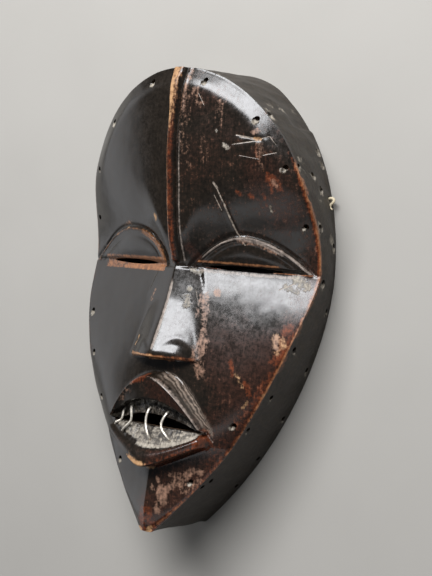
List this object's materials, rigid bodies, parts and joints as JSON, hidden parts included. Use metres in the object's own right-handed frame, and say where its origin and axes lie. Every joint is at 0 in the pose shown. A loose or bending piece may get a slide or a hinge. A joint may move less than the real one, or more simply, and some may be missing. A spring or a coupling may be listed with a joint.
{
  "type": "carved face mask",
  "caption": "Carved wooden face mask, hollow behind, with a ribbed forehead, slit eyes, a long nose, an open mouth with wire teeth and small holes round its edge.",
  "frame": {"origin": "middle of the back rim's plane, midway between the crown and the chin", "axes": "+Z from the back rim to the face, +Y from the chin to the crown, +X to the viewer's right when the face is upright"},
  "size_m": [0.1382, 0.2304, 0.057],
  "materials": {
    "wood": "smooth dark patina, worn at the edges",
    "wire": "dull drawn wire",
    "fibre": "dry plant fibre"
  },
  "bodies": {
    "root": {"mask_body": "wood", "wire_tooth_1": "wire", "wire_tooth_2": "wire", "wire_tooth_3": "wire", "wire_tooth_4": "wire", "fibre_peg": "fibre"}
  },
  "joints": []
}
